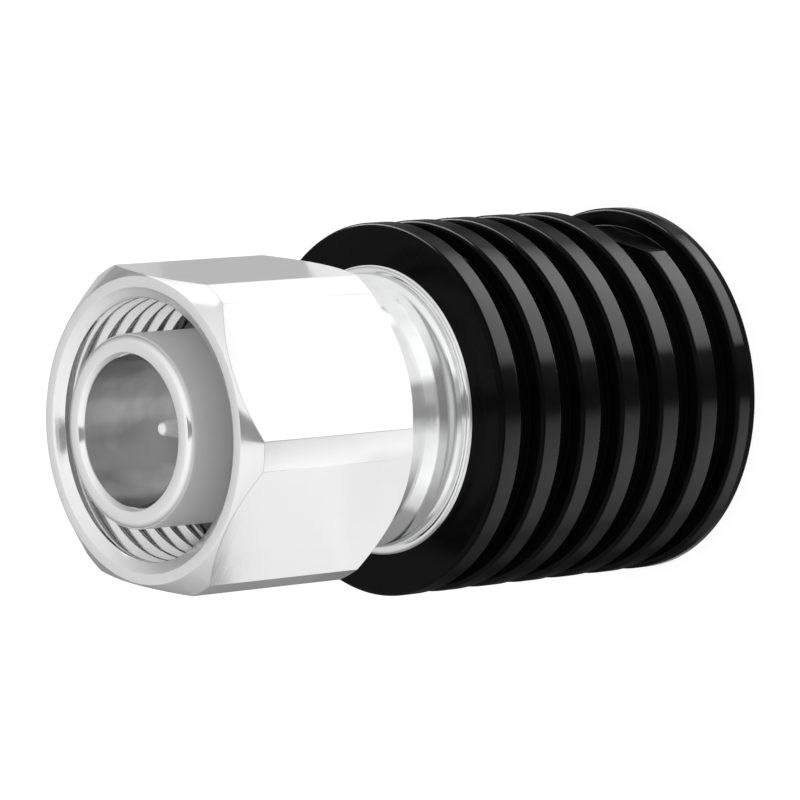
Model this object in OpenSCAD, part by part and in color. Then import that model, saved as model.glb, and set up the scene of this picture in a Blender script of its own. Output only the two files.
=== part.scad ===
// Coaxial dummy load: a plug with a hex coupling nut on a finned heat sink that holds the resistor.
// It stands on the rear face of the heat sink, with the mouth of the plug towards +Z.

/* [Heat sink] */
// Diameter over the fins
sink_d = 27.4; // [24:0.1:34]
// Number of fins, the front and rear discs included
fin_count = 7; // [4:1:10]
// Thickness of one fin
fin_t = 1.82; // [1.2:0.01:2.6]
// Width of the groove between two fins
fin_gap = 2.11; // [1.4:0.01:3]
// Diameter at the floor of the grooves
groove_d = 24.8; // [22:0.1:26]
// Chamfer on the edges of the fins
fin_edge = 0.2; // [0.05:0.05:0.4]
// Fin that the flat is milled across, counted from the rear disc
flat_fin = 1; // [1:1:2]
// Distance from the axis to the flat
flat_h = 12.25; // [11.2:0.05:12.35]
// Thickness of the closed rear wall behind the resistor
sink_floor_t = 5.4; // [3:0.1:8]

/* [Connector body] */
// Diameter of the flange on the front face of the heat sink
flange_d = 21.2; // [20.4:0.1:23]
// Thickness of the flange
flange_t = 0.45; // [0.3:0.05:1.2]
// Diameter of the step in front of the flange
step_d = 20.2; // [19.6:0.1:20.4]
// Length of the step
step_t = 0.75; // [0.4:0.05:1.2]
// Length of the cove between the step and the neck
cove_len = 2.1; // [1.2:0.1:2.6]
// Depth of the cove below the line between its ends
cove_depth = 0.1; // [0.05:0.05:0.7]
// Diameter of the neck that the nut turns on
neck_d = 19.2; // [18.6:0.1:19.4]
// Diameter of the spigot inside the heat sink
spigot_d = 16; // [15:0.1:17]
// Length of the spigot inside the heat sink
spigot_len = 9; // [5:0.5:12]
// Diameter of the boss round the outer contact
boss_d = 15.8; // [15.2:0.1:16.4]
// Height of the boss above the shoulder
boss_h = 2; // [1.5:0.1:3]
// Small chamfer on turned edges
turned_edge = 0.12; // [0.04:0.02:0.16]

/* [Coupling nut] */
// Width of the hexagon across its flats
nut_af = 22.2; // [21.8:0.1:23.6]
// Diameter that the corners of the hexagon are turned to
nut_turned_d = 24.5; // [23.8:0.1:25]
// Length of the nut
nut_len = 16.1; // [14:0.1:20]
// Gap between the heat sink and the rear face of the nut
nut_gap = 5.9; // [4.4:0.1:9]
// Angle at rest of one corner of the hexagon, from +X
nut_turn = 35; // [0:1:60]
// Diameter of the front and rear faces inside their chamfers
nut_face_d = 21.9; // [21:0.1:22.2]
// Slope of the front chamfer against the face
front_slope = 40; // [20:1:50]
// Slope of the rear chamfer against the face
rear_slope = 45; // [20:1:50]
// Major diameter of the internal thread
thread_d = 20; // [19.6:0.1:20.4]
// Diameter of the mouth in front of the thread
mouth_d = 20.4; // [20.2:0.1:20.8]
// Slope of the countersink in the mouth against the face
mouth_slope = 30; // [20:1:45]
// Thickness of the lip that runs on the neck
lip_t = 3; // [2:0.1:4]
// Length of the turned relief between the lip and the thread
relief_len = 3.6; // [2.8:0.1:4.4]
// Diameter of the relief
relief_d = 20.9; // [20.7:0.1:21.2]

/* [Retaining ring and gasket] */
// Thickness of the retaining ring
ring_t = 1.2; // [0.8:0.1:1.4]
// Outer diameter of the retaining ring
ring_d = 20.5; // [20:0.1:20.6]
// Depth of its groove in the neck
ring_groove = 0.75; // [0.5:0.05:0.9]
// Opening of the split in the ring
ring_split = 2.4; // [1:0.1:4]
// Length of the neck in front of the ring
ring_land = 1; // [0.6:0.1:1.6]
// Outer diameter of the interface gasket
gasket_d = 18.6; // [17.4:0.1:18.8]
// Thickness of the interface gasket
gasket_t = 1.2; // [0.8:0.1:1.4]
// Outer diameter of the seal in the joint between flange and heat sink
seal_d = 18.2; // [17.6:0.1:19]
// Thickness of that seal
seal_t = 0.9; // [0.6:0.1:1.2]

/* [Outer contact] */
// Outer diameter of the tube
tube_d = 13.9; // [13.2:0.1:14.4]
// Bore of the tube
tube_bore = 10.6; // [10.2:0.1:11]
// Length of the tube in front of the nut
tube_proud = 1.25; // [0.5:0.05:3]
// Diameter of the end of the tube inside the body
tube_seat_d = 13; // [12.4:0.1:13]
// Depth of that end below the shoulder of the body
tube_seat_depth = 3; // [2:0.1:4]
// Radius of the rounded outer edge of the rim
rim_round = 0.55; // [0.2:0.05:0.8]
// Chamfer on the inner edge of the rim
rim_chamfer = 0.35; // [0.1:0.05:0.5]

/* [Centre contact] */
// Diameter of the pin
pin_d = 1.6; // [1.2:0.1:2.2]
// Diameter of its tip
pin_tip_d = 0.9; // [0.6:0.1:1]
// Length of the tapered tip
pin_taper = 2; // [1:0.1:3]
// Depth of the tip behind the rim of the tube
pin_recess = 3; // [2:0.1:5]
// Depth of the insulator behind the rim of the tube
socket_depth = 9.4; // [8:0.1:10]
// Diameter of the contact inside the insulator
stem_d = 3; // [2.4:0.1:3.6]
// Diameter of the contact behind the insulator
core_d = 4.3; // [4:0.1:5]
// Length of the contact behind the insulator
core_len = 3.4; // [2.8:0.1:4.2]
// Bore of the line behind the insulator
line_d = 10; // [9.4:0.1:10.4]

/* [Resistor] */
// Diameter of the ceramic rod
rod_d = 3.2; // [2.6:0.1:3.4]
// Outer diameter of the end caps
cap_d = 4; // [3.8:0.1:4.6]
// Length of the front cap
front_cap_len = 2.8; // [2:0.1:3.6]
// Length of the rear cap
rear_cap_len = 3.6; // [2.4:0.1:4.4]
// Thickness of the end wall of a cap
cap_wall = 0.8; // [0.5:0.1:1.2]
// Diameter of the plug on the front cap
plug_d = 2; // [1.4:0.1:2.4]
// Length of the plug on the front cap
plug_len = 2; // [1.4:0.1:2.4]
// Outer diameter of the taper sleeve
sleeve_d = 12.4; // [11.4:0.1:13]
// Thickness of the web between the sleeve and the seat of the tube
web_t = 2.6; // [1.6:0.1:3.2]

/* [Fits] */
// Radial clearance between fixed pieces
fit_gap = 0.03; // [0.02:0.01:0.05]
// Radial clearance of the nut on the neck
run_gap = 0.06; // [0.04:0.01:0.1]
// Clearance along the axis between the nut and its ring
end_play = 0.1; // [0.05:0.05:0.2]

/* [Hidden] */
$fn = 96;
cut = 1; // overrun of cutting shapes

// Heights along the axis, from the rear face
fin_pitch = fin_t + fin_gap;
sink_len = fin_count * fin_t + (fin_count - 1) * fin_gap;
flange_top = sink_len + flange_t;
step_top = flange_top + step_t;
cove_top = step_top + cove_len;
nut_rear = sink_len + nut_gap;
nut_front = nut_rear + nut_len;
ring_rear = nut_rear + lip_t + end_play;
ring_front = ring_rear + ring_t;
shoulder = ring_front + end_play + ring_land;
boss_top = shoulder + boss_h;
tube_rear = shoulder - tube_seat_depth;
tube_front = nut_front + tube_proud;
bead_front = tube_front - socket_depth;
pin_tip = tube_front - pin_recess;
core_rear = tube_rear - core_len;
sleeve_top = tube_rear - web_t;
spigot_rear = sink_len - spigot_len;
rod_rear = sink_floor_t + cap_wall;
rod_front = core_rear - cap_wall;

// Radii
sink_r = sink_d / 2;
groove_r = groove_d / 2;
spigot_r = spigot_d / 2;
seal_r = seal_d / 2;
flange_r = flange_d / 2;
step_r = step_d / 2;
neck_r = neck_d / 2;
ring_floor_r = neck_r - ring_groove;
boss_r = boss_d / 2;
tube_r = tube_d / 2;
tube_seat_r = tube_seat_d / 2;
tube_bore_r = tube_bore / 2;
line_r = line_d / 2;
sleeve_r = sleeve_d / 2;
cap_r = cap_d / 2;
rod_r = rod_d / 2;
stem_r = stem_d / 2;
core_r = core_d / 2;
nut_corner_r = nut_af / 2 / cos(30);
nut_face_r = nut_face_d / 2;
nut_turned_r = nut_turned_d / 2;

// Circle of the cove: it passes through both ends, and dips by cove_depth below the chord
cove_a = [step_r, step_top];
cove_b = [neck_r, cove_top];
cove_chord = norm(cove_b - cove_a);
cove_r = (pow(cove_chord / 2, 2) + pow(cove_depth, 2)) / (2 * cove_depth);
cove_out = [cove_b.y - cove_a.y, cove_a.x - cove_b.x] / cove_chord;
cove_centre = (cove_a + cove_b) / 2 + cove_out * (cove_r - cove_depth);

// Outline of one fin, from its rear edge to its front edge
function fin_outline(z) = [
    [groove_r, z],
    [sink_r - fin_edge, z],
    [sink_r, z + fin_edge],
    [sink_r, z + fin_t - fin_edge],
    [sink_r - fin_edge, z + fin_t],
    [groove_r, z + fin_t]
];

module tube_ring(outer_r, inner_r, rear, front) {
    rotate_extrude()
        translate([inner_r, rear])
            square([outer_r - inner_r, front - rear]);
}

module heat_sink() {
    color("#1b1b1d")
        difference() {
            rotate_extrude()
                polygon(concat(
                    [[0, 0]],
                    [for (k = [0 : fin_count - 1]) each fin_outline(k * fin_pitch)],
                    [
                        [seal_r + fit_gap, sink_len],
                        [seal_r + fit_gap, sink_len - seal_t],
                        [spigot_r + fit_gap, sink_len - seal_t],
                        [spigot_r + fit_gap, spigot_rear],
                        [sleeve_r + fit_gap, spigot_rear],
                        [sleeve_r + fit_gap, sink_floor_t],
                        [0, sink_floor_t]
                    ]));
            translate([flat_h, -sink_d / 2, (flat_fin - 1) * fin_pitch + fin_t])
                cube([sink_d, sink_d, fin_pitch + fin_gap]);
        }
}

module connector_body() {
    color("#d9dadb")
        rotate_extrude()
            difference() {
                polygon([
                    [sleeve_r + fit_gap, spigot_rear],
                    [spigot_r, spigot_rear],
                    [spigot_r, sink_len],
                    [flange_r, sink_len],
                    [flange_r, flange_top - turned_edge],
                    [flange_r - turned_edge, flange_top],
                    [step_r, flange_top],
                    [step_r, step_top],
                    [neck_r, cove_top],
                    [neck_r, ring_rear - end_play],
                    [ring_floor_r, ring_rear - end_play],
                    [ring_floor_r, ring_front + end_play],
                    [neck_r, ring_front + end_play],
                    [neck_r, shoulder - turned_edge],
                    [neck_r - turned_edge, shoulder],
                    [boss_r, shoulder],
                    [boss_r, boss_top - turned_edge],
                    [boss_r - turned_edge, boss_top],
                    [tube_seat_r + fit_gap, boss_top],
                    [tube_seat_r + fit_gap, tube_rear],
                    [line_r, tube_rear],
                    [line_r, sleeve_top],
                    [sleeve_r + fit_gap, sleeve_top]
                ]);
                translate(cove_centre) circle(cove_r);
            }
}

module outer_contact() {
    round_z = tube_front - rim_round;
    round_r = tube_r - rim_round;
    color("#cfd0d2")
        rotate_extrude()
            union() {
                polygon([
                    [tube_bore_r, tube_rear],
                    [tube_seat_r, tube_rear],
                    [tube_seat_r, boss_top],
                    [tube_r, boss_top],
                    [tube_r, round_z],
                    [round_r, round_z],
                    [round_r, tube_front],
                    [tube_bore_r + rim_chamfer, tube_front],
                    [tube_bore_r, tube_front - rim_chamfer]
                ]);
                translate([round_r, round_z]) circle(rim_round);
            }
}

module nut_blank() {
    front_h = (nut_turned_r - nut_face_r) * tan(front_slope);
    rear_h = (nut_turned_r - nut_face_r) * tan(rear_slope);
    intersection() {
        translate([0, 0, nut_rear])
            rotate([0, 0, nut_turn])
                cylinder(r = nut_corner_r, h = nut_len, $fn = 6);
        rotate_extrude()
            polygon([
                [0, nut_rear],
                [nut_face_r, nut_rear],
                [nut_turned_r, nut_rear + rear_h],
                [nut_turned_r, nut_front - front_h],
                [nut_face_r, nut_front],
                [0, nut_front]
            ]);
    }
}

module coupling_nut() {
    lip_r = neck_r + run_gap;
    lip_top = nut_rear + lip_t;
    relief_r = relief_d / 2;
    relief_top = lip_top + relief_len;
    thread_r = thread_d / 2;
    mouth_r = mouth_d / 2;
    mouth_h = (mouth_r - thread_r) * tan(mouth_slope);
    color("#e6e7e8")
        difference() {
            nut_blank();
            rotate_extrude()
                polygon([
                    [0, nut_rear - cut],
                    [lip_r + turned_edge, nut_rear - cut],
                    [lip_r + turned_edge, nut_rear],
                    [lip_r, nut_rear + turned_edge],
                    [lip_r, lip_top],
                    [relief_r, lip_top],
                    [relief_r, relief_top - (relief_r - thread_r)],
                    [thread_r, relief_top],
                    [thread_r, nut_front - mouth_h],
                    [mouth_r, nut_front],
                    [mouth_r, nut_front + cut],
                    [0, nut_front + cut]
                ]);
        }
}

module retaining_ring() {
    color("#a9abad")
        difference() {
            tube_ring(ring_d / 2, ring_floor_r + fit_gap, ring_rear, ring_front);
            translate([0, -ring_split / 2, ring_rear - cut])
                cube([ring_d, ring_split, ring_t + 2 * cut]);
        }
}

module interface_gasket() {
    color("#8f9192")
        tube_ring(gasket_d / 2, boss_r + fit_gap, shoulder, shoulder + gasket_t);
}

module joint_seal() {
    color("#303234")
        tube_ring(seal_r, spigot_r + fit_gap, sink_len - seal_t, sink_len);
}

module centre_contact() {
    pin_r = pin_d / 2;
    socket_r = plug_d / 2 + fit_gap;
    color("#d8d2b8")
        rotate_extrude()
            polygon([
                [socket_r, core_rear],
                [core_r, core_rear],
                [core_r, tube_rear],
                [stem_r, tube_rear],
                [stem_r, bead_front],
                [pin_r, bead_front],
                [pin_r, pin_tip - pin_taper],
                [pin_tip_d / 2, pin_tip],
                [0, pin_tip],
                [0, core_rear + plug_len],
                [socket_r, core_rear + plug_len]
            ]);
}

module front_bead() {
    color("#f2f2ee")
        tube_ring(tube_bore_r - fit_gap, stem_r + fit_gap, tube_rear, bead_front);
}

module resistor_rod() {
    color("#e8e4da")
        translate([0, 0, rod_rear])
            cylinder(r = rod_r, h = rod_front - rod_rear);
}

module front_cap() {
    color("#c9c9c4")
        rotate_extrude()
            polygon([
                [rod_r + fit_gap, core_rear - front_cap_len],
                [cap_r, core_rear - front_cap_len],
                [cap_r, core_rear],
                [plug_d / 2, core_rear],
                [plug_d / 2, core_rear + plug_len],
                [0, core_rear + plug_len],
                [0, rod_front],
                [rod_r + fit_gap, rod_front]
            ]);
}

module rear_cap() {
    color("#c9c9c4")
        rotate_extrude()
            polygon([
                [0, sink_floor_t],
                [cap_r, sink_floor_t],
                [cap_r, sink_floor_t + rear_cap_len],
                [rod_r + fit_gap, sink_floor_t + rear_cap_len],
                [rod_r + fit_gap, rod_rear],
                [0, rod_rear]
            ]);
}

module taper_sleeve() {
    hole_r = cap_r + fit_gap;
    color("#c2a65a")
        rotate_extrude()
            polygon([
                [hole_r, sink_floor_t],
                [sleeve_r, sink_floor_t],
                [sleeve_r, sleeve_top],
                [line_r, sleeve_top],
                [hole_r, sink_floor_t + rear_cap_len]
            ]);
}

heat_sink();
connector_body();
outer_contact();
coupling_nut();
retaining_ring();
interface_gasket();
joint_seal();
centre_contact();
front_bead();
resistor_rod();
front_cap();
rear_cap();
taper_sleeve();
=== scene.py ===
# Coaxial dummy load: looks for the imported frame
import bpy
import math
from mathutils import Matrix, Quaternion, Vector


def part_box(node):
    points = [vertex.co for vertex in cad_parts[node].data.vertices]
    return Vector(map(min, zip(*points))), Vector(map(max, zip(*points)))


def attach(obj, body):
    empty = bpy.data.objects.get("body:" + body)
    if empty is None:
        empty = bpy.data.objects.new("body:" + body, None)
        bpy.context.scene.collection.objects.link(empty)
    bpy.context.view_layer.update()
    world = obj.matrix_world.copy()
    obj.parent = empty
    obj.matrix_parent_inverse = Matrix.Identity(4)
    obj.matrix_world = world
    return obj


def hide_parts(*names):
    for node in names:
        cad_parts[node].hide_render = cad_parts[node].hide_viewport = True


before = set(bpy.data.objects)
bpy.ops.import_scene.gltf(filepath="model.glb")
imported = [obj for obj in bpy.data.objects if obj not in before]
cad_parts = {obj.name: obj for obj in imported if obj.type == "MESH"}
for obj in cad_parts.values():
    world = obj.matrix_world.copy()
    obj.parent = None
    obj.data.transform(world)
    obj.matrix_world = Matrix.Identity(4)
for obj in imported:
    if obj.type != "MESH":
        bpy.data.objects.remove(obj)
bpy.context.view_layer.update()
mm = 0.001
mergeAt = 0.001 * mm  # points closer than this become one
cornerStepDeg = 14  # a rounded corner gets about one point for so many degrees
print("stage: frame loaded,", len(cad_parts), "nodes")


# Small helpers for working by hand in edit mode
def deselectAll():
    bpy.ops.object.select_all(action="DESELECT")


def pick(piece):
    deselectAll()
    piece.select_set(True)
    bpy.context.view_layer.objects.active = piece


def openMesh(piece):
    pick(piece)
    bpy.ops.object.mode_set(mode="EDIT")
    bpy.ops.mesh.select_all(action="SELECT")


def closeMesh():
    bpy.ops.object.mode_set(mode="OBJECT")


def mendMesh():
    bpy.ops.mesh.select_all(action="SELECT")
    bpy.ops.mesh.remove_doubles(threshold=mergeAt)
    bpy.ops.mesh.normals_make_consistent(inside=False)


def roundCorners(outline, closed):
    # a point may carry a third number, the radius of its rounded corner
    points = [Vector((stop[0], stop[1])) for stop in outline]
    finished = []
    for k, stop in enumerate(outline):
        atEnd = not closed and k in (0, len(outline) - 1)
        if len(stop) < 3 or atEnd:
            finished.append(points[k])
            continue
        here = points[k]
        back = (points[k - 1] - here).normalized()
        ahead = (points[(k + 1) % len(points)] - here).normalized()
        half = back.angle(ahead) / 2
        middle = here + (back + ahead).normalized() * stop[2] / math.sin(half)
        start = here + back * stop[2] / math.tan(half) - middle
        end = here + ahead * stop[2] / math.tan(half) - middle
        turn = start.angle_signed(end)
        count = max(2, round(abs(turn) / math.radians(cornerStepDeg)))
        for step in range(count + 1):
            a = -turn * step / count
            across = start.x * math.cos(a) - start.y * math.sin(a)
            along = start.x * math.sin(a) + start.y * math.cos(a)
            finished.append(middle + Vector((across, along)))
    return finished


def layOutline(name, outline, closed=True):
    # one vertex is pulled from point to point in the XZ plane
    deselectAll()
    bpy.ops.mesh.primitive_plane_add(size=mm)
    piece = bpy.context.object
    piece.name = name
    piece.data.name = name
    openMesh(piece)
    bpy.ops.mesh.merge(type="CENTER")
    points = roundCorners(outline, closed)
    bpy.ops.transform.translate(value=Vector((points[0].x, 0, points[0].y)) * mm)
    stops = points[1:] + points[:1] if closed else points[1:]
    at = points[0]
    for stop in stops:
        step = Vector((stop.x - at.x, 0, stop.y - at.y)) * mm
        bpy.ops.mesh.extrude_vertices_move(TRANSFORM_OT_translate={"value": step})
        at = stop
    bpy.ops.mesh.select_all(action="SELECT")
    bpy.ops.mesh.remove_doubles(threshold=mergeAt)
    return piece


def turnOutline(name, outline, steps=192, closed=True):
    # the outline is spun round the axis of the plug, as on a lathe
    piece = layOutline(name, outline, closed)
    bpy.ops.mesh.spin(steps=steps, angle=math.tau, center=(0, 0, 0), axis=(0, 0, 1))
    mendMesh()
    closeMesh()
    return piece


def arc(centre, radius, startDeg, endDeg, count):
    stops = []
    for k in range(count + 1):
        a = math.radians(startDeg + (endDeg - startDeg) * k / count)
        stops.append((centre[0] + radius * math.cos(a), centre[1] + radius * math.sin(a)))
    return stops


def applyModifier(piece, kind, **settings):
    pick(piece)
    modifier = piece.modifiers.new(kind.lower(), kind)
    for key, value in settings.items():
        setattr(modifier, key, value)
    bpy.ops.object.modifier_apply(modifier=modifier.name)


def roundEdges(piece, width, segments, overDeg):
    applyModifier(piece, "BEVEL", width=width * mm, segments=segments, limit_method="ANGLE",
                  angle_limit=math.radians(overDeg), use_clamp_overlap=False)


def smoothFaces(piece, sharpDeg=40):
    # flats keep flat shading right up to their rounded edges
    pick(piece)
    bpy.ops.object.shade_smooth_by_angle(angle=math.radians(sharpDeg))
    applyModifier(piece, "WEIGHTED_NORMAL", mode="FACE_AREA", weight=100, keep_sharp=True)


def cutAway(piece, cutter):
    applyModifier(piece, "BOOLEAN", operation="DIFFERENCE", solver="EXACT", object=cutter)
    deselectAll()
    bpy.data.objects.remove(cutter)


def triangles(piece):
    piece.data.calc_loop_triangles()
    return len(piece.data.loop_triangles)


# Node materials
noiseLow = 0.3  # most of a noise lies between these two
noiseHigh = 0.7


def newMaterial(name):
    material = bpy.data.materials.new(name)
    material.use_nodes = True
    nodes = material.node_tree.nodes
    shader = next(n for n in nodes if n.type == "BSDF_PRINCIPLED")
    return material, nodes, material.node_tree.links, shader


def emptyTree(owner):
    owner.use_nodes = True
    nodes = owner.node_tree.nodes
    nodes.clear()
    return nodes, owner.node_tree.links


def grey(level):
    return (level, level, level, 1)


def addNode(nodes, kind, **settings):
    node = nodes.new(kind)
    for key, value in settings.items():
        setattr(node, key, value)
    return node


def addMath(nodes, links, operation, first, second=None):
    node = addNode(nodes, "ShaderNodeMath", operation=operation)
    for socket, value in zip(node.inputs, (first, second)):
        if hasattr(value, "links"):
            links.new(value, socket)
        elif value is not None:
            socket.default_value = value
    return node.outputs[0]


def latheCoordinates(nodes, links):
    # radius and height in millimetres, so that marks run round the axis
    coordinates = addNode(nodes, "ShaderNodeTexCoord")
    split = addNode(nodes, "ShaderNodeSeparateXYZ")
    links.new(coordinates.outputs["Object"], split.inputs[0])
    squareX = addMath(nodes, links, "MULTIPLY", split.outputs[0], split.outputs[0])
    squareY = addMath(nodes, links, "MULTIPLY", split.outputs[1], split.outputs[1])
    radius = addMath(nodes, links, "SQRT", addMath(nodes, links, "ADD", squareX, squareY))
    joined = addNode(nodes, "ShaderNodeCombineXYZ")
    links.new(addMath(nodes, links, "DIVIDE", radius, mm), joined.inputs[0])
    links.new(addMath(nodes, links, "DIVIDE", split.outputs[2], mm), joined.inputs[1])
    return coordinates.outputs["Object"], joined.outputs[0]


def addNoise(nodes, links, vector, scale, detail, roughness):
    noise = addNode(nodes, "ShaderNodeTexNoise")
    noise.inputs["Scale"].default_value = scale
    noise.inputs["Detail"].default_value = detail
    noise.inputs["Roughness"].default_value = roughness
    links.new(vector, noise.inputs["Vector"])
    return noise.outputs["Fac"]


def addRange(nodes, links, value, low, high, fromLow=noiseLow, fromHigh=noiseHigh):
    spread = addNode(nodes, "ShaderNodeMapRange", clamp=True)
    links.new(value, spread.inputs["Value"])
    spread.inputs["From Min"].default_value = fromLow
    spread.inputs["From Max"].default_value = fromHigh
    spread.inputs["To Min"].default_value = low
    spread.inputs["To Max"].default_value = high
    return spread.outputs["Result"]


def addColourRange(nodes, links, value, low, high):
    ramp = addNode(nodes, "ShaderNodeValToRGB")
    ramp.color_ramp.elements[0].position = noiseLow
    ramp.color_ramp.elements[0].color = (*low, 1)
    ramp.color_ramp.elements[1].position = noiseHigh
    ramp.color_ramp.elements[1].color = (*high, 1)
    links.new(value, ramp.inputs[0])
    return ramp.outputs["Color"]


def addBump(nodes, links, shader, height, depth):
    bump = addNode(nodes, "ShaderNodeBump")
    bump.inputs["Strength"].default_value = 1.0
    bump.inputs["Distance"].default_value = depth * mm
    links.new(height, bump.inputs["Height"])
    links.new(bump.outputs["Normal"], shader.inputs["Normal"])


def platedMetal(name, look):
    material, nodes, links, shader = newMaterial(name)
    inSpace, onLathe = latheCoordinates(nodes, links)
    shader.inputs["Metallic"].default_value = look["metal"]
    film = addNoise(nodes, links, inSpace, look["filmScale"] / mm, detail=4.0, roughness=0.6)
    links.new(addColourRange(nodes, links, film, look["dull"], look["bright"]), shader.inputs["Base Color"])
    links.new(addRange(nodes, links, film, look["smooth"], look["hazy"]), shader.inputs["Roughness"])
    marks = addNoise(nodes, links, onLathe, look["markScale"], detail=3.0, roughness=0.6)
    addBump(nodes, links, shader, marks, look["markDepth"])
    return material


def contactMetal(name, look):
    # as the other plating, with a hazy outside; the bore's base colour is painted darker (painted shade) and
    # carries painted reflection streaks along it
    material, nodes, links, shader = newMaterial(name)
    inSpace, onLathe = latheCoordinates(nodes, links)
    split = addNode(nodes, "ShaderNodeSeparateXYZ")
    links.new(onLathe, split.inputs[0])
    radius = split.outputs[0]
    outsideSpan = (look["outsideR"] - look["fadeIn"], look["outsideR"] + look["fadeOut"])
    boreSpan = (look["boreR"] - look["fadeOut"], look["boreR"] + look["fadeIn"])
    metal = addRange(nodes, links, radius, look["metal"], look["outsideMetal"], *outsideSpan)
    links.new(metal, shader.inputs["Metallic"])
    film = addNoise(nodes, links, inSpace, look["filmScale"] / mm, detail=4.0, roughness=0.6)
    haze = addRange(nodes, links, film, look["smooth"], look["hazy"])
    outside = addRange(nodes, links, radius, 0.0, look["outsideHaze"], *outsideSpan)
    within = addRange(nodes, links, radius, look["boreHaze"], 0.0, *boreSpan)
    both = addMath(nodes, links, "ADD", outside, within)
    links.new(addMath(nodes, links, "ADD", haze, both), shader.inputs["Roughness"])
    # the painted reflection streaks run along the bore, so they read the direction from the axis alone
    flat = addNode(nodes, "ShaderNodeVectorMath", operation="MULTIPLY")
    links.new(inSpace, flat.inputs[0])
    flat.inputs[1].default_value = (1, 1, 0)
    outward = addNode(nodes, "ShaderNodeVectorMath", operation="NORMALIZE")
    links.new(flat.outputs[0], outward.inputs[0])
    paintedStreaks = addNoise(nodes, links, outward.outputs[0], look["paintedStreakScale"], detail=1.5, roughness=0.5)
    inBore = addRange(nodes, links, radius, look["paintedStreakDepth"], 0.0, *boreSpan)
    paintedStreakShift = addMath(nodes, links, "MULTIPLY", addMath(nodes, links, "SUBTRACT", paintedStreaks, 0.5), inBore)
    # painted shade: the tone is lifted outside the bore, so the bore's base colour stays darker
    boreShadeLift = addRange(nodes, links, radius, 0.0, look["boreShadeLift"], *boreSpan)
    toneWithPaintedLight = addMath(nodes, links, "ADD", addMath(nodes, links, "ADD", film, paintedStreakShift), boreShadeLift)
    links.new(addColourRange(nodes, links, toneWithPaintedLight, look["dull"], look["bright"]), shader.inputs["Base Color"])
    marks = addNoise(nodes, links, onLathe, look["markScale"], detail=3.0, roughness=0.6)
    addBump(nodes, links, shader, marks, look["markDepth"])
    return material


def blackAnodised(name, look):
    material, nodes, links, shader = newMaterial(name)
    inSpace, onLathe = latheCoordinates(nodes, links)
    cloud = addNoise(nodes, links, inSpace, look["cloudScale"] / mm, detail=4.0, roughness=0.6)
    links.new(addColourRange(nodes, links, cloud, look["deep"], look["pale"]), shader.inputs["Base Color"])
    links.new(addRange(nodes, links, cloud, look["smooth"], look["hazy"]), shader.inputs["Roughness"])
    shader.inputs["Specular IOR Level"].default_value = look["gloss"]
    grain = addNoise(nodes, links, inSpace, look["grainScale"] / mm, detail=2.0, roughness=0.5)
    lines = addNoise(nodes, links, onLathe, look["lineScale"], detail=2.0, roughness=0.6)
    both = addMath(nodes, links, "ADD", grain, lines)
    addBump(nodes, links, shader, both, look["grainDepth"])
    return material


def dullSolid(name, look):
    material, nodes, links, shader = newMaterial(name)
    inSpace = addNode(nodes, "ShaderNodeTexCoord").outputs["Object"]
    cloud = addNoise(nodes, links, inSpace, look["cloudScale"] / mm, detail=4.0, roughness=0.6)
    links.new(addColourRange(nodes, links, cloud, look["deep"], look["pale"]), shader.inputs["Base Color"])
    links.new(addRange(nodes, links, cloud, look["smooth"], look["hazy"]), shader.inputs["Roughness"])
    grain = addNoise(nodes, links, inSpace, look["grainScale"] / mm, detail=2.0, roughness=0.5)
    addBump(nodes, links, shader, grain, look["grainDepth"])
    return material


def dress(piece, material):
    piece.data.materials.clear()
    piece.data.materials.append(material)


def fitPiece(piece, body, slotName, material, *nodes):
    dress(piece, material)
    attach(piece, body)
    if nodes:
        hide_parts(*nodes)
    print("piece:", piece.name, triangles(piece), "triangles")


# Heat sink: one turned block with fins, a flat milled across the second fin from the rear
sinkShape = {
    "finCount": 7,
    "finT": 1.82,
    "finGap": 2.11,
    "grooveR": 12.4,
    "finFrontEdge": 0.36,
    "finRearEdge": 0.06,
    "grooveEdge": 0.06,
    "flatFin": 1,
    "flatH": 12.25,
    "flatClear": 0.02,
    "sealR": 9.13,
    "sealT": 0.9,
    "spigotR": 8.03,
    "spigotRear": 16.4,
    "sleeveR": 6.23,
    "floorT": 5.4,
}
sinkLook = {
    "deep": (0.0018, 0.0018, 0.002),
    "pale": (0.0034, 0.0034, 0.0037),
    "smooth": 0.14,
    "hazy": 0.19,
    "gloss": 0.05,
    "cloudScale": 0.15,
    "grainScale": 9.0,
    "grainDepth": 0.0015,
    "lineScale": 6.0,
}


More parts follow.
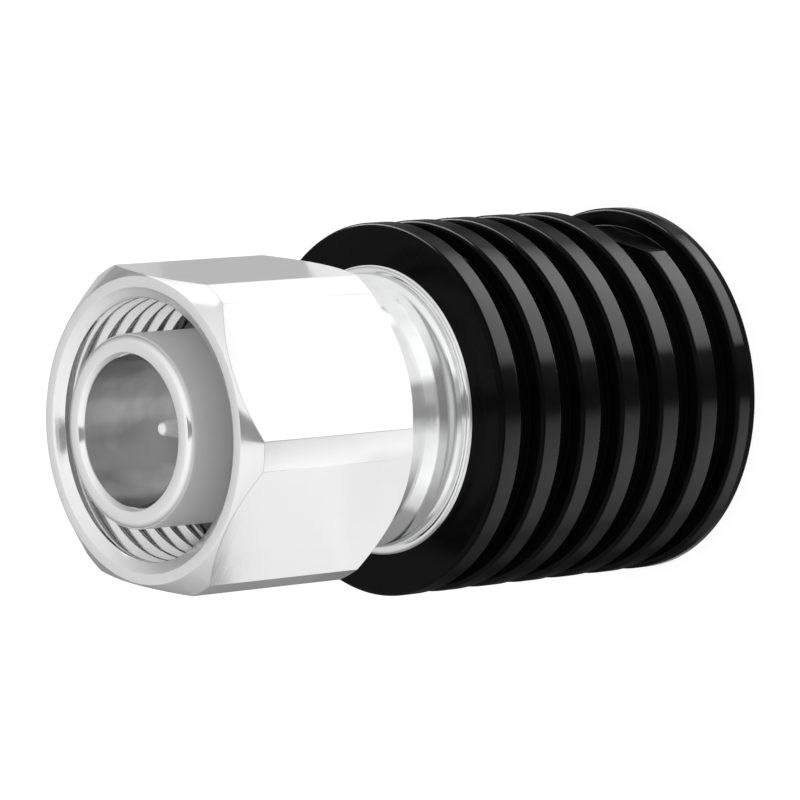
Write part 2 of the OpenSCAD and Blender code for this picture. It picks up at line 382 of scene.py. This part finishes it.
def buildHeatSink(shape):
    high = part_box("heat_sink")[1]
    outerR = high.x / mm
    length = high.z / mm
    pitch = shape["finT"] + shape["finGap"]
    outline = [(0, 0)]
    for k in range(shape["finCount"]):
        rear = k * pitch
        front = rear + shape["finT"]
        if k > 0:
            outline.append((shape["grooveR"], rear, shape["grooveEdge"]))
        outline.append((outerR, rear, shape["finRearEdge"]))
        outline.append((outerR, front, shape["finFrontEdge"]))
        if k < shape["finCount"] - 1:
            outline.append((shape["grooveR"], front, shape["grooveEdge"]))
    outline += [
        (shape["sealR"], length),
        (shape["sealR"], length - shape["sealT"]),
        (shape["spigotR"], length - shape["sealT"]),
        (shape["spigotR"], shape["spigotRear"]),
        (shape["sleeveR"], shape["spigotRear"]),
        (shape["sleeveR"], shape["floorT"]),
        (0, shape["floorT"]),
    ]
    sink = turnOutline("heat_sink_turned", outline, steps=240, closed=False)
    flatRear = (shape["flatFin"] - 1) * pitch + shape["finT"] + shape["flatClear"]
    flatFront = flatRear + pitch + shape["finGap"] - 2 * shape["flatClear"]
    deselectAll()
    bpy.ops.mesh.primitive_cube_add(size=1)
    cutter = bpy.context.object
    cutter.scale = Vector((outerR, 2 * outerR, flatFront - flatRear)) * mm
    cutter.location = Vector((shape["flatH"] + outerR / 2, 0, (flatRear + flatFront) / 2)) * mm
    bpy.ops.object.transform_apply(location=True, rotation=False, scale=True)
    cutAway(sink, cutter)
    smoothFaces(sink)
    return sink


sinkBlack = blackAnodised("sink_black_anodised", sinkLook)
fitPiece(buildHeatSink(sinkShape), "load", "sink_black", sinkBlack, "heat_sink")
print("stage: heat sink done")


# Connector body: flange, step, cove, neck and the boss round the tube
bodyShape = {
    "flangeR": 10.6,
    "flangeT": 0.45,
    "flangeRound": 0.28,
    "flangeEdge": 0.06,
    "stepR": 10.1,
    "stepT": 0.75,
    "stepDrop": 0.14,
    "stepChamfer": 0.08,
    "stepEdge": 0.04,
    "beadShare": 0.38,
    "beadRound": 1.2,
    "coveLength": 2.05,
    "coveStart": 0.07,
    "coveEnd": 0.5,
    "coveSteps": 16,
    "creaseR": 9.52,
    "neckR": 9.6,
    "neckTaper": 0.12,
    "neckEase": 0.1,
    "nutRear": 31.3,
    "ringFloorR": 8.85,
    "ringRear": 34.3,
    "ringFront": 35.7,
    "shoulder": 36.7,
    "bossR": 7.9,
    "spigotR": 8.0,
    "sleeveR": 6.23,
    "sleeveTop": 31.1,
    "lineR": 5.0,
    "tubeSeatR": 6.53,
    "tubeRear": 33.7,
    "edge": 0.12,
}
bodyLook = {
    "metal": 1.0,
    "bright": (0.93, 0.93, 0.935),
    "dull": (0.86, 0.865, 0.87),
    "smooth": 0.06,
    "hazy": 0.13,
    "filmScale": 0.5,
    "markScale": 2.2,
    "markDepth": 0.006,
}


def coveOutline(shape, stepTop, coveTop):
    # from the step up to the neck, steep at the step and nearly straight at the neck
    rise = shape["stepR"] - shape["stepDrop"] - shape["creaseR"]
    length = coveTop - stepTop
    bend = shape["coveEnd"] - shape["coveStart"]
    power = bend / (rise / length - shape["coveStart"]) - 1
    stops = []
    for k in range(shape["coveSteps"] + 1):
        s = 1 - k / shape["coveSteps"]
        grown = shape["coveStart"] * s + bend * s ** (power + 1) / (power + 1)
        stops.append((shape["creaseR"] + grown * length, coveTop - s * length))
    return stops


def buildBody(shape):
    low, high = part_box("connector_body")
    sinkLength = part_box("heat_sink")[1].z / mm
    flangeTop = sinkLength + shape["flangeT"]
    stepTop = flangeTop + shape["stepT"]
    coveTop = stepTop + shape["coveLength"]
    stepLow = flangeTop + shape["stepChamfer"]
    stepMid = (stepLow + stepTop) / 2
    outline = [
        (shape["sleeveR"], low.z / mm),
        (shape["spigotR"], low.z / mm),
        (shape["spigotR"], sinkLength),
        (shape["flangeR"], sinkLength, shape["flangeEdge"]),
        (shape["flangeR"], flangeTop, shape["flangeRound"]),
        (shape["stepR"] - shape["stepChamfer"], flangeTop),
        (shape["stepR"], stepLow, shape["stepEdge"]),
        (shape["stepR"] - shape["stepDrop"] * shape["beadShare"], stepMid, shape["beadRound"]),
    ]
    outline += coveOutline(shape, stepTop, coveTop)
    outline += [
        (shape["creaseR"] - shape["neckTaper"], shape["nutRear"]),
        (shape["neckR"], shape["nutRear"] + shape["neckEase"], shape["edge"]),
        (shape["neckR"], shape["ringRear"], shape["edge"]),
        (shape["ringFloorR"], shape["ringRear"]),
        (shape["ringFloorR"], shape["ringFront"]),
        (shape["neckR"], shape["ringFront"], shape["edge"]),
        (shape["neckR"], shape["shoulder"], shape["edge"]),
        (shape["bossR"], shape["shoulder"]),
        (shape["bossR"], high.z / mm, shape["edge"]),
        (shape["tubeSeatR"], high.z / mm),
        (shape["tubeSeatR"], shape["tubeRear"]),
        (shape["lineR"], shape["tubeRear"]),
        (shape["lineR"], shape["sleeveTop"]),
        (shape["sleeveR"], shape["sleeveTop"]),
    ]
    body = turnOutline("connector_body_turned", outline, steps=192)
    smoothFaces(body)
    return body


bodyPlating = platedMetal("body_plating_polished", bodyLook)
fitPiece(buildBody(bodyShape), "load", "body_plating", bodyPlating, "connector_body")
print("stage: connector body done")


# Coupling nut: a turned blank with six flats, then the thread inside it
nutShape = {
    "acrossFlats": 22.2,
    "turnedR": 12.25,
    "cornerDeg": 35.0,
    "faceR": 10.95,
    "frontSlope": 40.0,
    "rearSlope": 45.0,
    "mouthR": 10.2,
    "mouthSlope": 30.0,
    "leadR": 9.36,
    "leadT": 0.25,
    "leadRunOut": 0.35,
    "threadR": 10.0,
    "lipR": 9.66,
    "lipT": 3.0,
    "lipEdge": 0.12,
    "reliefR": 10.45,
    "reliefLength": 3.6,
    "faceEdge": 0.05,
    "edge": 0.025,
    "weldAt": 0.03,
}
threadShape = {
    "pitch": 1.45,
    "rootR": 10.02,
    "crestR": 9.42,
    "crestWidth": 0.22,
    "flankDeg": 34.0,
    "crestEdge": 0.04,
    "stepsPerTurn": 128,
    "startTrim": 0.05,
    "coneIn": 0.5,
    "coneOut": 1.0,
    "coneTurns": 3,
}
nutLook = {
    "bright": (0.93, 0.93, 0.935),
    "dull": (0.90, 0.90, 0.905),
    "smooth": 0.09,
    "hazy": 0.14,
    "metal": 1.0,
    "filmScale": 0.3,
    "markScale": 1.6,
    "markDepth": 0.002,
}


def buildNut(shape):
    low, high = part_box("coupling_nut")
    rear = low.z / mm
    front = high.z / mm
    rise = shape["turnedR"] - shape["faceR"]
    frontH = rise * math.tan(math.radians(shape["frontSlope"]))
    rearH = rise * math.tan(math.radians(shape["rearSlope"]))
    mouthH = (shape["mouthR"] - shape["leadR"]) * math.tan(math.radians(shape["mouthSlope"]))
    leadRear = front - mouthH - shape["leadT"]
    lipTop = rear + shape["lipT"]
    reliefTop = lipTop + shape["reliefLength"]
    outline = [
        (shape["lipR"] + shape["lipEdge"], rear),
        (shape["faceR"], rear, shape["faceEdge"]),
        (shape["turnedR"], rear + rearH),
        (shape["turnedR"], front - frontH),
        (shape["faceR"], front, shape["faceEdge"]),
        (shape["mouthR"], front, shape["faceEdge"]),
        (shape["leadR"], front - mouthH, shape["faceEdge"]),
        (shape["leadR"], leadRear, shape["faceEdge"]),
        (shape["threadR"], leadRear - shape["leadRunOut"]),
        (shape["threadR"], reliefTop),
        (shape["reliefR"], reliefTop - (shape["reliefR"] - shape["threadR"])),
        (shape["reliefR"], lipTop),
        (shape["lipR"], lipTop),
        (shape["lipR"], rear + shape["lipEdge"]),
    ]
    nut = turnOutline("coupling_nut_hex", outline, steps=240)
    openMesh(nut)
    for k in range(6):
        a = math.radians(shape["cornerDeg"] + 30 + 60 * k)
        normal = Vector((math.cos(a), math.sin(a), 0))
        bpy.ops.mesh.select_all(action="SELECT")
        bpy.ops.mesh.bisect(plane_co=normal * shape["acrossFlats"] / 2 * mm, plane_no=normal,
                            use_fill=True, clear_outer=True, threshold=mergeAt)
    bpy.ops.mesh.select_all(action="SELECT")
    bpy.ops.mesh.remove_doubles(threshold=shape["weldAt"] * mm)
    closeMesh()
    roundEdges(nut, shape["edge"], segments=3, overDeg=14)
    smoothFaces(nut)
    return nut


def buildThread(nut, shape):
    low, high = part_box("coupling_nut")
    front = high.z / mm
    start = low.z / mm + nut["lipT"] + nut["reliefLength"]
    depth = shape["rootR"] - shape["crestR"]
    flank = depth * math.tan(math.radians(shape["flankDeg"]))
    edge = shape["crestEdge"]
    edgeIn = edge * math.tan(math.radians(shape["flankDeg"]))
    crestLow = start - shape["pitch"] + flank
    crestHigh = crestLow + shape["crestWidth"]
    outline = [
        (shape["rootR"], crestLow - flank),
        (shape["crestR"] + edge, crestLow - edgeIn),
        (shape["crestR"], crestLow + edge),
        (shape["crestR"], crestHigh - edge),
        (shape["crestR"] + edge, crestHigh + edgeIn),
        (shape["rootR"], crestHigh + flank),
    ]
    thread = layOutline("nut_thread", outline)
    closeMesh()
    turns = math.ceil((front - start) / shape["pitch"]) + 2  # two to spare, which are cut off below
    applyModifier(thread, "SCREW", axis="Z", angle=math.tau, screw_offset=shape["pitch"] * mm,
                  iterations=turns, steps=shape["stepsPerTurn"], render_steps=shape["stepsPerTurn"])
    openMesh(thread)
    bpy.ops.mesh.select_all(action="DESELECT")
    bpy.ops.mesh.select_mode(type="EDGE")
    bpy.ops.mesh.select_non_manifold(extend=False, use_wire=False, use_multi_face=False,
                                     use_non_contiguous=False, use_verts=False)
    bpy.ops.mesh.fill_holes(sides=0)
    bpy.ops.mesh.select_mode(type="VERT")
    mendMesh()
    bpy.ops.mesh.bisect(plane_co=(0, 0, (start + shape["startTrim"]) * mm), plane_no=(0, 0, 1), use_fill=True,
                        clear_inner=True, threshold=mergeAt)
    mendMesh()
    closeMesh()
    slope = math.tan(math.radians(nut["mouthSlope"]))
    deepR = shape["crestR"] - shape["coneIn"]
    wideR = nut["mouthR"] + shape["coneOut"]
    coneLow = front - (nut["mouthR"] - deepR) * slope
    coneTop = front + shape["coneTurns"] * shape["pitch"]
    cone = [
        (0, coneLow),
        (deepR, coneLow),
        (wideR, front + shape["coneOut"] * slope),
        (wideR, coneTop),
        (0, coneTop),
    ]
    cutAway(thread, turnOutline("countersink", cone, steps=128, closed=False))
    smoothFaces(thread, sharpDeg=25)
    return thread


nutPlating = platedMetal("nut_plating_polished", nutLook)
threadLook = dict(nutLook, metal=0.85, smooth=0.12, hazy=0.18, markDepth=0.003)
threadPlating = platedMetal("thread_plating", threadLook)
fitPiece(buildNut(nutShape), "nut", "nut_plating", nutPlating, "coupling_nut")
fitPiece(buildThread(nutShape, threadShape), "nut", "nut_plating", threadPlating)
print("stage: coupling nut done")


# Outer contact: the tube inside the nut, with a rounded rim
tubeShape = {
    "bore": 5.3,
    "seatR": 6.5,
    "seatTop": 38.7,
    "rimRound": 0.55,
    "rimChamfer": 0.35,
    "edge": 0.06,
}
contactLook = {
    "metal": 1.0,
    "outsideMetal": 0.85,
    "bright": (0.96, 0.96, 0.965),
    "dull": (0.58, 0.582, 0.586),
    "smooth": 0.08,
    "hazy": 0.13,
    # painted shade in the bore: how much brighter the tone is outside it
    "boreShadeLift": 0.34,
    "filmScale": 0.2,
    "markScale": 2.5,
    "markDepth": 0.003,
    "outsideR": 6.9,
    "outsideHaze": 0.3,
    "fadeIn": 0.05,
    "fadeOut": 0.02,
    "boreR": 5.35,
    "boreHaze": 0.14,
    # painted reflection streaks in the bore's base colour: their size and strength
    "paintedStreakScale": 1.7,
    "paintedStreakDepth": 2.2,
}


def buildTube(shape):
    low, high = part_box("outer_contact")
    tubeR = high.x / mm
    rear = low.z / mm
    front = high.z / mm
    roundCentre = (tubeR - shape["rimRound"], front - shape["rimRound"])
    outline = [
        (shape["bore"], rear),
        (shape["seatR"], rear),
        (shape["seatR"], shape["seatTop"]),
        (tubeR, shape["seatTop"]),
    ]
    outline += arc(roundCentre, shape["rimRound"], startDeg=0, endDeg=90, count=8)
    outline += [
        (shape["bore"] + shape["rimChamfer"], front),
        (shape["bore"], front - shape["rimChamfer"]),
    ]
    tube = turnOutline("outer_contact_tube", outline, steps=192)
    roundEdges(tube, shape["edge"], segments=3, overDeg=20)
    smoothFaces(tube)
    return tube


contactPlating = contactMetal("contact_plating_polished", contactLook)
fitPiece(buildTube(tubeShape), "load", "contact_plating", contactPlating, "outer_contact")


# Centre contact: a pin with a rounded tip on a thicker stem
pinShape = {
    "pinR": 0.8,
    "tipR": 0.5,
    "taper": 2.0,
    "tipRound": 0.3,
    "stemR": 1.5,
    "beadFront": 39.25,
    "beadRear": 33.7,
    "socketR": 1.03,
    "socketDepth": 2.0,
    "edge": 0.05,
}


def buildPin(shape):
    low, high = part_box("centre_contact")
    coreR = high.x / mm
    rear = low.z / mm
    tip = high.z / mm
    roundCentre = (shape["tipR"] - shape["tipRound"], tip - shape["tipRound"])
    outline = [
        (0, rear + shape["socketDepth"]),
        (shape["socketR"], rear + shape["socketDepth"]),
        (shape["socketR"], rear),
        (coreR, rear),
        (coreR, shape["beadRear"]),
        (shape["stemR"], shape["beadRear"]),
        (shape["stemR"], shape["beadFront"]),
        (shape["pinR"], shape["beadFront"]),
        (shape["pinR"], tip - shape["taper"]),
    ]
    outline += arc(roundCentre, shape["tipRound"], startDeg=10, endDeg=90, count=6)
    outline.append((0, tip))
    pin = turnOutline("centre_contact_pin", outline, steps=64, closed=False)
    roundEdges(pin, shape["edge"], segments=2, overDeg=30)
    smoothFaces(pin)
    return pin


pinLook = dict(contactLook, metal=0.25, bright=(0.98, 0.98, 0.98), dull=(0.95, 0.95, 0.95),
               smooth=0.3, hazy=0.38)
pinPlating = platedMetal("pin_plating", pinLook)
fitPiece(buildPin(pinShape), "load", "contact_plating", pinPlating, "centre_contact")
print("stage: contacts done")


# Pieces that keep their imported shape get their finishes
sealLook = {
    "deep": (0.24, 0.24, 0.245),
    "pale": (0.32, 0.32, 0.325),
    "smooth": 0.55,
    "hazy": 0.7,
    "cloudScale": 0.4,
    "grainScale": 12.0,
    "grainDepth": 0.004,
}
jointSealLook = dict(sealLook, deep=(0.02, 0.02, 0.021), pale=(0.04, 0.04, 0.042))
insulatorLook = dict(sealLook, deep=(0.83, 0.83, 0.825), pale=(0.9, 0.9, 0.895), smooth=0.4, hazy=0.5)
ceramicLook = dict(sealLook, deep=(0.74, 0.72, 0.66), pale=(0.82, 0.8, 0.74), smooth=0.5, hazy=0.62)
springLook = dict(contactLook, bright=(0.62, 0.62, 0.63), dull=(0.55, 0.55, 0.56), smooth=0.25, hazy=0.35)
brassLook = dict(contactLook, bright=(0.76, 0.58, 0.28), dull=(0.68, 0.5, 0.22), smooth=0.22, hazy=0.32)
keptNodes = {
    "interface_gasket": dullSolid("gasket_rubber", sealLook),
    "joint_seal": dullSolid("seal_rubber", jointSealLook),
    "front_bead": dullSolid("white_insulator", insulatorLook),
    "resistor_rod": dullSolid("rod_ceramic", ceramicLook),
    "retaining_ring": platedMetal("ring_spring_steel", springLook),
    "front_cap": contactPlating,
    "rear_cap": contactPlating,
    "taper_sleeve": platedMetal("sleeve_brass", brassLook),
}
for name, material in keptNodes.items():
    dress(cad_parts[name], material)
print("stage: packed pieces dressed")


# Camera at the photo's view: the load is seen lying on its side
cameraView = {
    "aim": (0.55, 0.12, 23.03),
    "azimuthDeg": 17.115,
    "elevationDeg": 41.077,
    "rollDeg": -95.04,
    "distance": 430.0,
    "lens": 263.6,
    "sensorWidth": 36,
    "clipStart": 0.01,
    "clipEnd": 20,
}


def placeCamera(view):
    azimuth = math.radians(view["azimuthDeg"])
    elevation = math.radians(view["elevationDeg"])
    back = Vector((math.sin(azimuth) * math.cos(elevation), -math.cos(azimuth) * math.cos(elevation),
                   math.sin(elevation)))
    camera = bpy.data.objects.new("camera", bpy.data.cameras.new("camera"))
    bpy.context.scene.collection.objects.link(camera)
    camera.data.lens = view["lens"]
    camera.data.sensor_width = view["sensorWidth"]
    camera.data.clip_start = view["clipStart"]
    camera.data.clip_end = view["clipEnd"]
    camera.rotation_mode = "QUATERNION"
    roll = Quaternion((0, 0, 1), math.radians(view["rollDeg"]))
    camera.rotation_quaternion = back.to_track_quat("Z", "Y") @ roll
    camera.location = (Vector(view["aim"]) + back * view["distance"]) * mm
    bpy.context.scene.camera = camera


placeCamera(cameraView)


# Floor: white to the camera and in reflections, with the shadow of the load on it
floorShape = {
    "size": 6.0,
    "glow": 0.82,
    "shade": 0.30,
    "paint": 0.8,
    "mirrored": 1.0,
    "fadeFrom": 70.0,
    "fadeTo": 260.0,
    "farMirrored": 0.35,
}


def buildFloor(shape):
    deselectAll()
    bpy.ops.mesh.primitive_plane_add(size=shape["size"])
    floor = bpy.context.object
    floor.name = "floor"
    material = bpy.data.materials.new("floor_white")
    nodes, links = emptyTree(material)
    output = addNode(nodes, "ShaderNodeOutputMaterial")
    path = addNode(nodes, "ShaderNodeLightPath")
    paint = addNode(nodes, "ShaderNodeBsdfDiffuse")
    paint.inputs["Color"].default_value = grey(shape["paint"])
    # what reflections see: white near the load, darker far away
    mirrored = addNode(nodes, "ShaderNodeEmission")
    coordinates = addNode(nodes, "ShaderNodeTexCoord")
    away = addNode(nodes, "ShaderNodeVectorMath", operation="LENGTH")
    links.new(coordinates.outputs["Object"], away.inputs[0])
    links.new(addRange(nodes, links, away.outputs["Value"], shape["mirrored"], shape["farMirrored"],
                       shape["fadeFrom"] * mm, shape["fadeTo"] * mm), mirrored.inputs["Strength"])
    # what the camera sees: white, with a soft shadow
    shade = addNode(nodes, "ShaderNodeBsdfDiffuse")
    shade.inputs["Color"].default_value = grey(shape["shade"])
    glow = addNode(nodes, "ShaderNodeEmission")
    glow.inputs["Strength"].default_value = shape["glow"]
    both = addNode(nodes, "ShaderNodeAddShader")
    links.new(shade.outputs[0], both.inputs[0])
    links.new(glow.outputs[0], both.inputs[1])
    inMirrors = addNode(nodes, "ShaderNodeMixShader")
    shiny = addMath(nodes, links, "MAXIMUM", path.outputs["Is Glossy Ray"],
                    path.outputs["Is Transmission Ray"])
    links.new(shiny, inMirrors.inputs[0])
    links.new(paint.outputs[0], inMirrors.inputs[1])
    links.new(mirrored.outputs[0], inMirrors.inputs[2])
    mix = addNode(nodes, "ShaderNodeMixShader")
    links.new(path.outputs["Is Camera Ray"], mix.inputs[0])
    links.new(inMirrors.outputs[0], mix.inputs[1])
    links.new(both.outputs[0], mix.inputs[2])
    links.new(mix.outputs[0], output.inputs["Surface"])
    floor.data.materials.append(material)


buildFloor(floorShape)

# Cards that only reflections see: bright and dark strips on the floor and on the front of the sink
# each level is a strength at an angle round the load, from its upper side towards the camera
cardLines = {
    "viewDeg": 86.7,
    "upDeg": 13.8,
    "stepDeg": 1.5,
    "uprightAway": 180,
    "sinkGap": 0.03,
}
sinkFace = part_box("heat_sink")[1].z / mm + cardLines["sinkGap"]
cardShape = {
    "near_card": {  # in the lands of the fins
        "startR": 13.75,
        "height": 0.4,
        "reaches": [(0, 1.0), (31, 1.0)],
        "levels": [(-2, 0.17), (21, 0.17), (30, 1.0), (75, 1.0), (82, 0.85), (86, 0.4), (92, 0.6), (95, 1.0),
                   (130, 1.0), (150, 0.06), (176, 0.06)],
    },
    "sink_card": {  # adds to the one above, for the sink alone
        "startR": 13.75,
        "height": 0.5,
        "reaches": [(0, 1.0), (31, 1.0)],
        "onlyFor": "heat_sink_turned",
        "levels": [(32, 0), (50, 12.6), (60, 14), (70, 14), (75, 11), (77, 0), (92, 0), (96, 4), (104, 5),
                   (110, 5), (133, 0)],
    },
    "middle_card": {  # in the neck and the rear of the nut
        "startR": 13.75,
        "height": 0.4,
        "reaches": [(31, 1.0), (41, 1.0)],
        "levels": [(-2, 0.75), (2, 0.5), (14, 0.5), (20, 0.7), (31, 0.75), (33, 1.15), (45, 1.15), (48, 0.8),
                   (75, 0.85), (78, 0.33), (91, 0.3), (100, 0.76), (109, 0.76), (127, 0.22), (176, 0.22)],
    },
    "nut_card": {  # adds to the one above, for the nut alone
        "startR": 13.75,
        "height": 0.5,
        "reaches": [(31, 1.0), (41, 1.0)],
        "onlyFor": "coupling_nut_hex",
        "levels": [(62, 0), (65, 0.3), (73, 0.3), (76, 0), (90, 0), (93, 0.5), (107, 0), (120, 0),
                   (126, 0.65), (134, 0.7), (138, 0.28), (150, 0.2), (152, 0)],
    },
    "far_card": {  # in the facets of the nut
        "startR": 13.75,
        "height": 0.4,
        "reaches": [(41, 1.0), (56, 1.0)],
        "levels": [(-2, 0.75), (2, 0.5), (14, 0.5), (32, 1.15), (45, 1.15), (48, 0.95), (56, 1.2), (74, 1.2),
                   (78, 0.45), (91, 0.4), (93, 0.8), (106, 1.1), (120, 1.15), (126, 0.95), (134, 0.9),
                   (141, 0.34), (176, 0.22)],
    },
    "cove_card": {  # in the lower cove
        "startR": 13.75,
        "height": 0.4,
        "reaches": [(56, 1.0), (130, 1.0), (260, 0.9)],
        "levels": [(-2, 0.6), (20, 0.6), (30, 0.83), (56, 0.9), (68, 0.7), (72, 0.34), (76, 0.25), (92, 0.22),
                   (102, 0.6), (112, 0.6), (128, 0.3), (176, 0.3)],
    },
    "collar_card": {  # in the flange and the upper cove
        "startR": 10.4,
        "height": sinkFace,
        "reaches": [(0.25, 0.7), (1.0, 0.92), (4.0, 1.0)],
        "levels": [(-2, 0.82), (45, 0.95), (56, 1.1), (73, 1.1), (78, 0.5), (84, 0.47), (88, 0.3), (92, 0.3),
                   (100, 0.9), (120, 1.08), (136, 0.68), (140, 0.34), (176, 0.25)],
    },
    "collar_top_card": {  # in the top of the collar
        "startR": 10.4,
        "height": sinkFace,
        "reaches": [(4.0, 1.0), (9.0, 1.0)],
        "levels": [(-2, 0.82), (34, 0.88)],
    },
}


def strengthAt(stops, angle):
    for (a, strengthA), (b, strengthB) in zip(stops, stops[1:]):
        if angle <= b:
            return strengthA + (strengthB - strengthA) * (angle - a) / (b - a)
    return stops[-1][1]


def makeCard(name, points, faces, levels, onlyFor=None):
    mesh = bpy.data.meshes.new(name)
    mesh.from_pydata(points, [], faces)
    card = bpy.data.objects.new(name, mesh)
    bpy.context.scene.collection.objects.link(card)
    level = mesh.attributes.new("level", "FLOAT", "POINT")
    level.data.foreach_set("value", levels)
    material = bpy.data.materials.new(name)
    nodes, links = emptyTree(material)
    output = addNode(nodes, "ShaderNodeOutputMaterial")
    glow = addNode(nodes, "ShaderNodeEmission")
    read = addNode(nodes, "ShaderNodeAttribute", attribute_name="level")
    links.new(read.outputs["Fac"], glow.inputs["Strength"])
    clear = addNode(nodes, "ShaderNodeBsdfTransparent")
    front = glow
    if onlyFor:
        # clear glass that shines on one piece alone
        front = addNode(nodes, "ShaderNodeAddShader")
        links.new(glow.outputs[0], front.inputs[0])
        links.new(clear.outputs[0], front.inputs[1])
        lit = bpy.data.collections.new(name + "_lights")
        lit.objects.link(bpy.data.objects[onlyFor])
        card.light_linking.receiver_collection = lit
    # a card shines from its front only
    side = addNode(nodes, "ShaderNodeNewGeometry")
    mix = addNode(nodes, "ShaderNodeMixShader")
    links.new(side.outputs["Backfacing"], mix.inputs[0])
    links.new(front.outputs[0], mix.inputs[1])
    links.new(clear.outputs[0], mix.inputs[2])
    links.new(mix.outputs[0], output.inputs["Surface"])
    mesh.materials.append(material)
    card.visible_camera = False
    card.visible_diffuse = False
    card.visible_shadow = False


def buildCard(name, shape, lines):
    stops = shape["levels"]
    reaches = shape["reaches"]
    count = round((stops[-1][0] - stops[0][0]) / lines["stepDeg"])
    points = []
    levels = []
    for k in range(count + 1):
        angle = stops[0][0] + k * lines["stepDeg"]
        away = math.radians(lines["upDeg"] - angle)
        along = math.radians(lines["upDeg"] - 2 * angle + lines["viewDeg"])
        for reach, share in reaches:
            x = shape["startR"] * math.cos(away) + reach * math.cos(along)
            y = shape["startR"] * math.sin(away) + reach * math.sin(along)
            points.append(Vector((x, y, shape["height"])) * mm)
            levels.append(strengthAt(stops, angle) * share)
    across = len(reaches)
    faces = []
    for k in range(count):
        for j in range(across - 1):
            corner = k * across + j
            faces.append((corner, corner + across, corner + across + 1, corner + 1))
    makeCard(name, points, faces, levels, shape.get("onlyFor"))


for name, shape in cardShape.items():
    buildCard(name, shape, cardLines)

# Upright cards: one for the front edges of the fins, one for the nut's chamfer
uprightShape = {
    "rim_card": {"fromDeg": -54, "toDeg": -6, "low": 12, "high": 70, "level": 22.0,
                 "onlyFor": "heat_sink_turned"},
    "chamfer_card": {"fromDeg": -42, "toDeg": 4, "low": 66, "high": 170, "level": 0.5,
                     "onlyFor": "coupling_nut_hex"},
}


def buildUprightCard(name, shape, lines):
    points = []
    for angle in (shape["fromDeg"], shape["toDeg"]):
        away = math.radians(lines["upDeg"] - angle)
        x = lines["uprightAway"] * math.cos(away)
        y = lines["uprightAway"] * math.sin(away)
        for height in (shape["low"], shape["high"]):
            points.append(Vector((x, y, height)) * mm)
    makeCard(name, points, [(0, 2, 3, 1)], [shape["level"]] * 4, shape["onlyFor"])


for name, shape in uprightShape.items():
    buildUprightCard(name, shape, cardLines)

# Soft studio light: three big lamps, overhead, from the side and from the front, and a grey room
lampShape = {
    "overhead": {"at": (-40, 60, 420), "size": 320, "radiance": 0.8},
    "side": {"at": (420, 60, 200), "size": 260, "radiance": 0.8},
    "front": {"at": (100, -330, 325), "size": 300, "radiance": 1.0},
}
roomShape = {
    "levels": [(0.0, 0.5), (0.3, 0.68), (0.66, 1.02), (0.84, 1.12), (1.0, 1.2)],
    "peak": 1.2,
    "front": (0.2385, -0.9711, 0),
    "up": (0.9711, 0.2385, 0),
    "frontGain": 0.16,
    "stripHalf": 0.12,
    "stripHalfSoft": 0.02,
    "stripFrom": 0.1,
    "stripFromSoft": 0.03,
    "stripLow": 0.3,
    "stripLowSoft": 0.08,
    "stripLevel": 0.34,
}


def addLamp(name, lamp, aim):
    light = bpy.data.lights.new(name, "AREA")
    light.shape = "DISK"
    light.size = lamp["size"] * mm
    area = math.pi * (light.size / 2) ** 2
    light.energy = lamp["radiance"] * math.pi * area
    holder = bpy.data.objects.new(name, light)
    bpy.context.scene.collection.objects.link(holder)
    holder.location = Vector(lamp["at"]) * mm
    holder.rotation_mode = "QUATERNION"
    holder.rotation_quaternion = (Vector(aim) * mm - holder.location).to_track_quat("-Z", "Y")
    holder.visible_camera = False
    holder.visible_glossy = False


for name, lamp in lampShape.items():
    addLamp(name + "_lamp", lamp, cameraView["aim"])


def buildRoom(shape):
    world = bpy.data.worlds.new("studio_room")
    bpy.context.scene.world = world
    nodes, links = emptyTree(world)
    output = addNode(nodes, "ShaderNodeOutputWorld")
    white = addNode(nodes, "ShaderNodeBackground")
    room = addNode(nodes, "ShaderNodeBackground")
    coordinates = addNode(nodes, "ShaderNodeTexCoord")
    towards = []
    for axis in (shape["front"], shape["up"], (0, 0, 1)):
        dot = addNode(nodes, "ShaderNodeVectorMath", operation="DOT_PRODUCT")
        links.new(coordinates.outputs["Generated"], dot.inputs[0])
        dot.inputs[1].default_value = axis
        towards.append(dot.outputs["Value"])
    ramp = addNode(nodes, "ShaderNodeValToRGB")
    stops = ramp.color_ramp.elements
    for height, level in shape["levels"][1:-1]:
        stops.new(height)
    for stop, (height, level) in zip(stops, shape["levels"]):
        stop.position = height
        stop.color = grey(level / shape["peak"])
    links.new(towards[2], ramp.inputs[0])
    high = addMath(nodes, links, "MULTIPLY", ramp.outputs["Color"], shape["peak"])
    gain = addMath(nodes, links, "MULTIPLY", towards[0], shape["frontGain"])
    lit = addMath(nodes, links, "ADD", high, gain)
    # the dark strip runs from overhead down behind the camera
    beside = addMath(nodes, links, "ABSOLUTE", towards[1])
    edges = []
    for value, under, over, key in (
        (beside, 1.0, 0.0, "stripHalf"),
        (towards[0], 0.0, 1.0, "stripFrom"),
        (towards[2], 0.0, 1.0, "stripLow"),
    ):
        soft = shape[key + "Soft"]
        edges.append(addRange(nodes, links, value, under, over, shape[key] - soft, shape[key] + soft))
    sides = addMath(nodes, links, "MULTIPLY", edges[0], edges[1])
    inStrip = addMath(nodes, links, "MULTIPLY", sides, edges[2])
    level = addNode(nodes, "ShaderNodeMix")
    links.new(inStrip, level.inputs[0])
    links.new(lit, level.inputs[2])
    level.inputs[3].default_value = shape["stripLevel"]
    links.new(level.outputs[0], room.inputs["Strength"])
    path = addNode(nodes, "ShaderNodeLightPath")
    mix = addNode(nodes, "ShaderNodeMixShader")
    links.new(path.outputs["Is Camera Ray"], mix.inputs[0])
    links.new(room.outputs[0], mix.inputs[1])
    links.new(white.outputs[0], mix.inputs[2])
    links.new(mix.outputs[0], output.inputs["Surface"])


buildRoom(roomShape)
bpy.context.scene.view_settings.view_transform = "Standard"
print("stage: camera, floor and light done")
